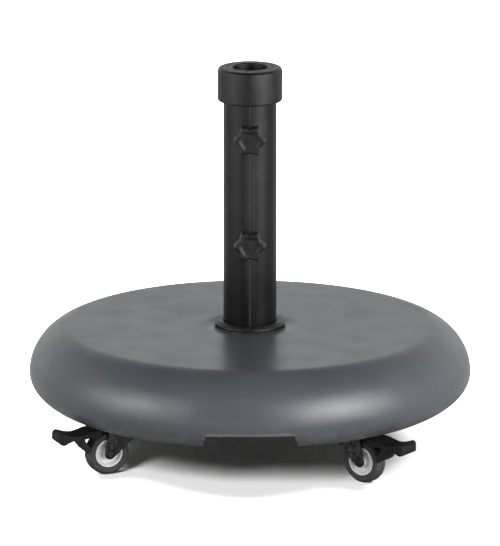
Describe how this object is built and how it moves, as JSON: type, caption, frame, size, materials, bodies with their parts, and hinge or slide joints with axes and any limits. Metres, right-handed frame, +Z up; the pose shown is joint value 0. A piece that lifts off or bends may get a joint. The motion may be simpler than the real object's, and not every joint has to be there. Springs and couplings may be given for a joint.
{
  "type": "parasol base",
  "caption": "Rolling parasol base: concrete-filled moulded disc on braked swivel castors, with a clamping steel stem for the pole.",
  "frame": {"origin": "on the floor, under the axis of the stem", "axes": "+Z up along the stem; the clamp knobs face -Y; +X to the right seen from the front"},
  "size_m": [0.4998, 0.4998, 0.44],
  "materials": {
    "slate_plastic": "satin moulded, fine texture",
    "black_plastic": "satin moulded",
    "black_paint": "semi-gloss powder coat",
    "fork_paint": "satin black",
    "zinc_steel": "zinc plated",
    "grey_nylon": "satin",
    "castor_rubber": "matte",
    "concrete": "cast, rough"
  },
  "bodies": {
    "base": {"cover_shell": "slate_plastic", "concrete_core": "concrete", "cross_bar_lower": "black_paint", "cross_bar_upper": "black_paint", "centre_bolt": "zinc_steel", "centre_washer": "zinc_steel", "stem_foot": "zinc_steel", "stem_tube": "black_paint", "stem_rosette": "black_plastic", "tube_collar": "black_plastic", "reducer_sleeve": "black_plastic", "pole_seat_ring": "black_plastic", "clamp_boss_upper": "black_paint", "clamp_boss_lower": "black_paint", "castor_plate_front_left": "zinc_steel", "swivel_bearing_front_left": "zinc_steel", "kingpin_front_left": "zinc_steel", "castor_plate_front_right": "zinc_steel", "swivel_bearing_front_right": "zinc_steel", "kingpin_front_right": "zinc_steel", "castor_plate_rear_right": "zinc_steel", "swivel_bearing_rear_right": "zinc_steel", "kingpin_rear_right": "zinc_steel", "castor_plate_rear_left": "zinc_steel", "swivel_bearing_rear_left": "zinc_steel", "kingpin_rear_left": "zinc_steel"},
    "clamp_pad_upper": {"clamp_pad_upper": "black_plastic"},
    "knob_upper": {"knob_head_upper": "black_plastic", "clamp_screw_upper": "zinc_steel"},
    "clamp_pad_lower": {"clamp_pad_lower": "black_plastic"},
    "knob_lower": {"knob_head_lower": "black_plastic", "clamp_screw_lower": "zinc_steel"},
    "castor_front_left": {"fork_front_left": "fork_paint", "axle_front_left": "black_paint", "pedal_pin_front_left": "zinc_steel"},
    "wheel_front_left": {"hub_front_left": "grey_nylon", "tyre_front_left": "castor_rubber"},
    "pedal_front_left": {"brake_pedal_front_left": "black_plastic"},
    "castor_front_right": {"fork_front_right": "fork_paint", "axle_front_right": "black_paint", "pedal_pin_front_right": "zinc_steel"},
    "wheel_front_right": {"hub_front_right": "grey_nylon", "tyre_front_right": "castor_rubber"},
    "pedal_front_right": {"brake_pedal_front_right": "black_plastic"},
    "castor_rear_right": {"fork_rear_right": "fork_paint", "axle_rear_right": "black_paint", "pedal_pin_rear_right": "zinc_steel"},
    "wheel_rear_right": {"hub_rear_right": "grey_nylon", "tyre_rear_right": "castor_rubber"},
    "pedal_rear_right": {"brake_pedal_rear_right": "black_plastic"},
    "castor_rear_left": {"fork_rear_left": "fork_paint", "axle_rear_left": "black_paint", "pedal_pin_rear_left": "zinc_steel"},
    "wheel_rear_left": {"hub_rear_left": "grey_nylon", "tyre_rear_left": "castor_rubber"},
    "pedal_rear_left": {"brake_pedal_rear_left": "black_plastic"}
  },
  "joints": [
    {"name": "pad_slide_upper", "type": "slide", "parent": "base", "child": "clamp_pad_upper", "axis": [0, 1, 0], "range_m": [-0.003, 0.003]},
    {"name": "knob_turn_upper", "type": "hinge", "parent": "clamp_pad_upper", "child": "knob_upper", "pos_m": [0, -0.055, 0.368], "axis": [0, 1, 0], "range_deg": [-720, 720]},
    {"name": "pad_slide_lower", "type": "slide", "parent": "base", "child": "clamp_pad_lower", "axis": [0, 1, 0], "range_m": [-0.003, 0.003]},
    {"name": "knob_turn_lower", "type": "hinge", "parent": "clamp_pad_lower", "child": "knob_lower", "pos_m": [0, -0.055, 0.247], "axis": [0, 1, 0], "range_deg": [-720, 720]},
    {"name": "swivel_front_left", "type": "hinge", "parent": "base", "child": "castor_front_left", "pos_m": [-0.13711, -0.10712, 0.058], "axis": [0, 0, 1], "continuous": true},
    {"name": "wheel_spin_front_left", "type": "hinge", "parent": "castor_front_left", "child": "wheel_front_left", "pos_m": [-0.16029, -0.11649, 0.025], "axis": [0.3746, -0.9272, 0], "continuous": true},
    {"name": "brake_front_left", "type": "hinge", "parent": "castor_front_left", "child": "pedal_front_left", "pos_m": [-0.14843, -0.1117, 0.0506], "axis": [-0.3746, 0.9272, 0], "range_deg": [0, 4]},
    {"name": "swivel_front_right", "type": "hinge", "parent": "base", "child": "castor_front_right", "pos_m": [0.10712, -0.13711, 0.058], "axis": [0, 0, 1], "continuous": true},
    {"name": "wheel_spin_front_right", "type": "hinge", "parent": "castor_front_right", "child": "wheel_front_right", "pos_m": [0.1276, -0.15145, 0.025], "axis": [0.5736, 0.8192, 0], "continuous": true},
    {"name": "brake_front_right", "type": "hinge", "parent": "castor_front_right", "child": "pedal_front_right", "pos_m": [0.11712, -0.14411, 0.0506], "axis": [-0.5736, -0.8192, 0], "range_deg": [0, 4]},
    {"name": "swivel_rear_right", "type": "hinge", "parent": "base", "child": "castor_rear_right", "pos_m": [0.13711, 0.10712, 0.058], "axis": [0, 0, 1], "continuous": true},
    {"name": "wheel_spin_rear_right", "type": "hinge", "parent": "castor_rear_right", "child": "wheel_rear_right", "pos_m": [0.15216, 0.12709, 0.025], "axis": [-0.7986, 0.6018, 0], "continuous": true},
    {"name": "brake_rear_right", "type": "hinge", "parent": "castor_rear_right", "child": "pedal_rear_right", "pos_m": [0.14446, 0.11687, 0.0506], "axis": [0.7986, -0.6018, 0], "range_deg": [0, 4]},
    {"name": "swivel_rear_left", "type": "hinge", "parent": "base", "child": "castor_rear_left", "pos_m": [-0.10712, 0.13711, 0.058], "axis": [0, 0, 1], "continuous": true},
    {"name": "wheel_spin_rear_left", "type": "hinge", "parent": "castor_rear_left", "child": "wheel_rear_left", "pos_m": [-0.11729, 0.15995, 0.025], "axis": [-0.9135, -0.4067, 0], "continuous": true},
    {"name": "brake_rear_left", "type": "hinge", "parent": "castor_rear_left", "child": "pedal_rear_left", "pos_m": [-0.11209, 0.14826, 0.0506], "axis": [0.9135, 0.4067, 0], "range_deg": [0, 4]}
  ],
  "couplings": [
    {"joint": "knob_turn_upper", "follows": "pad_slide_upper", "rad_per_m": 4188.8},
    {"joint": "knob_turn_lower", "follows": "pad_slide_lower", "rad_per_m": 4188.8}
  ]
}
